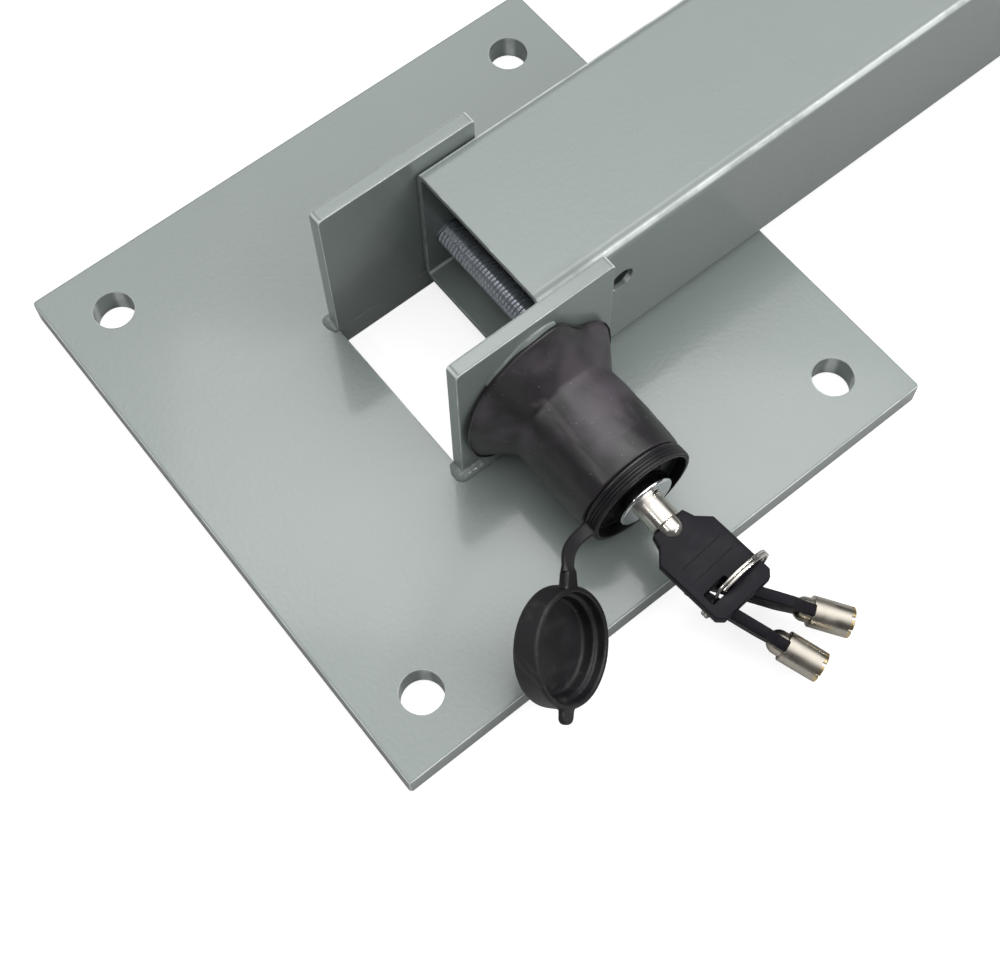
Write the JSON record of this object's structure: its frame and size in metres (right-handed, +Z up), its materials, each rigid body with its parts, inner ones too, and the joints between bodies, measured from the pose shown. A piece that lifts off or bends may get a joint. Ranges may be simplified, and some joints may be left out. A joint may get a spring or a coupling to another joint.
{
  "type": "fold-down parking post",
  "caption": "Square steel post hinged between lugs on a bolted base plate, folded flat, with a spring plunger lock in a rubber boot, dust cap and keys.",
  "frame": {"origin": "centre of the rectangle of anchor holes, on the base plate's underside", "axes": "+X along the folded post towards its free end, +Y away from the lock towards the far lug, +Z up out of the ground"},
  "size_m": [0.6339, 0.2616, 0.076],
  "materials": {
    "painted_steel": "satin grey-green powder coat",
    "black_rubber": "soft black rubber, slightly dusty",
    "black_plastic": "fine-grained black plastic",
    "zinc": "bright zinc plating",
    "dark_steel": "blackened steel",
    "chrome": "polished chrome",
    "nickel": "polished nickel"
  },
  "bodies": {
    "base": {"base_plate": "painted_steel", "near_lug": "painted_steel", "far_lug": "painted_steel", "near_lug_weld": "painted_steel", "far_lug_weld": "painted_steel", "pivot_bolt": "zinc", "pivot_washer": "zinc", "lock_housing": "painted_steel", "housing_weld": "painted_steel", "rubber_boot": "black_rubber", "dust_cap_collar": "black_rubber", "dust_cap_strap": "black_rubber", "lock_sleeve": "dark_steel", "retaining_screw": "dark_steel"},
    "post": {"post_tube": "painted_steel", "post_end_plug": "black_plastic"},
    "cap": {"dust_cap": "black_rubber"},
    "cylinder": {"lock_cylinder": "chrome", "lock_plunger": "zinc", "plunger_spring": "zinc"},
    "key": {"lock_core": "dark_steel", "key_barrel": "nickel", "key_bow": "black_plastic"},
    "ring": {"key_ring": "nickel"},
    "spare_1": {"spare_key_1_barrel": "nickel", "spare_key_1_bow": "black_plastic"},
    "spare_2": {"spare_key_2_barrel": "nickel", "spare_key_2_bow": "black_plastic"}
  },
  "joints": [
    {"name": "post_pivot", "type": "hinge", "parent": "base", "child": "post", "pos_m": [0.015, 0, 0.0295], "axis": [0, -1, 0], "range_deg": [0, 90]},
    {"name": "lock_push", "type": "slide", "parent": "base", "child": "cylinder", "axis": [0, 1, 0], "range_m": [0, 0.005], "stiffness_N_per_m": 400, "deforming": ["plunger_spring"]},
    {"name": "key_turn", "type": "hinge", "parent": "cylinder", "child": "key", "pos_m": [0.001, -0.09, 0.032], "axis": [0, 1, 0], "range_deg": [-90, 0]},
    {"name": "dust_cap_swing", "type": "hinge", "parent": "base", "child": "cap", "pos_m": [-0.028, -0.086, 0.033], "axis": [0, 0, 1], "range_deg": [0, 30]},
    {"name": "key_ring_swing", "type": "hinge", "parent": "key", "child": "ring", "pos_m": [-0.00134, -0.12232, 0.032], "axis": [0.9969, 0.0785, 0], "range_deg": [-9, 0]},
    {"name": "spare_key_1_swing", "type": "hinge", "parent": "ring", "child": "spare_1", "pos_m": [0.00969, -0.12039, 0.01191], "axis": [0.9683, 0.0635, 0.2416], "range_deg": [-8, 0]},
    {"name": "spare_key_2_swing", "type": "hinge", "parent": "ring", "child": "spare_2", "pos_m": [0.0017, -0.12105, 0.01247], "axis": [0.9228, 0.0923, -0.3741], "range_deg": [-8, 0]}
  ]
}
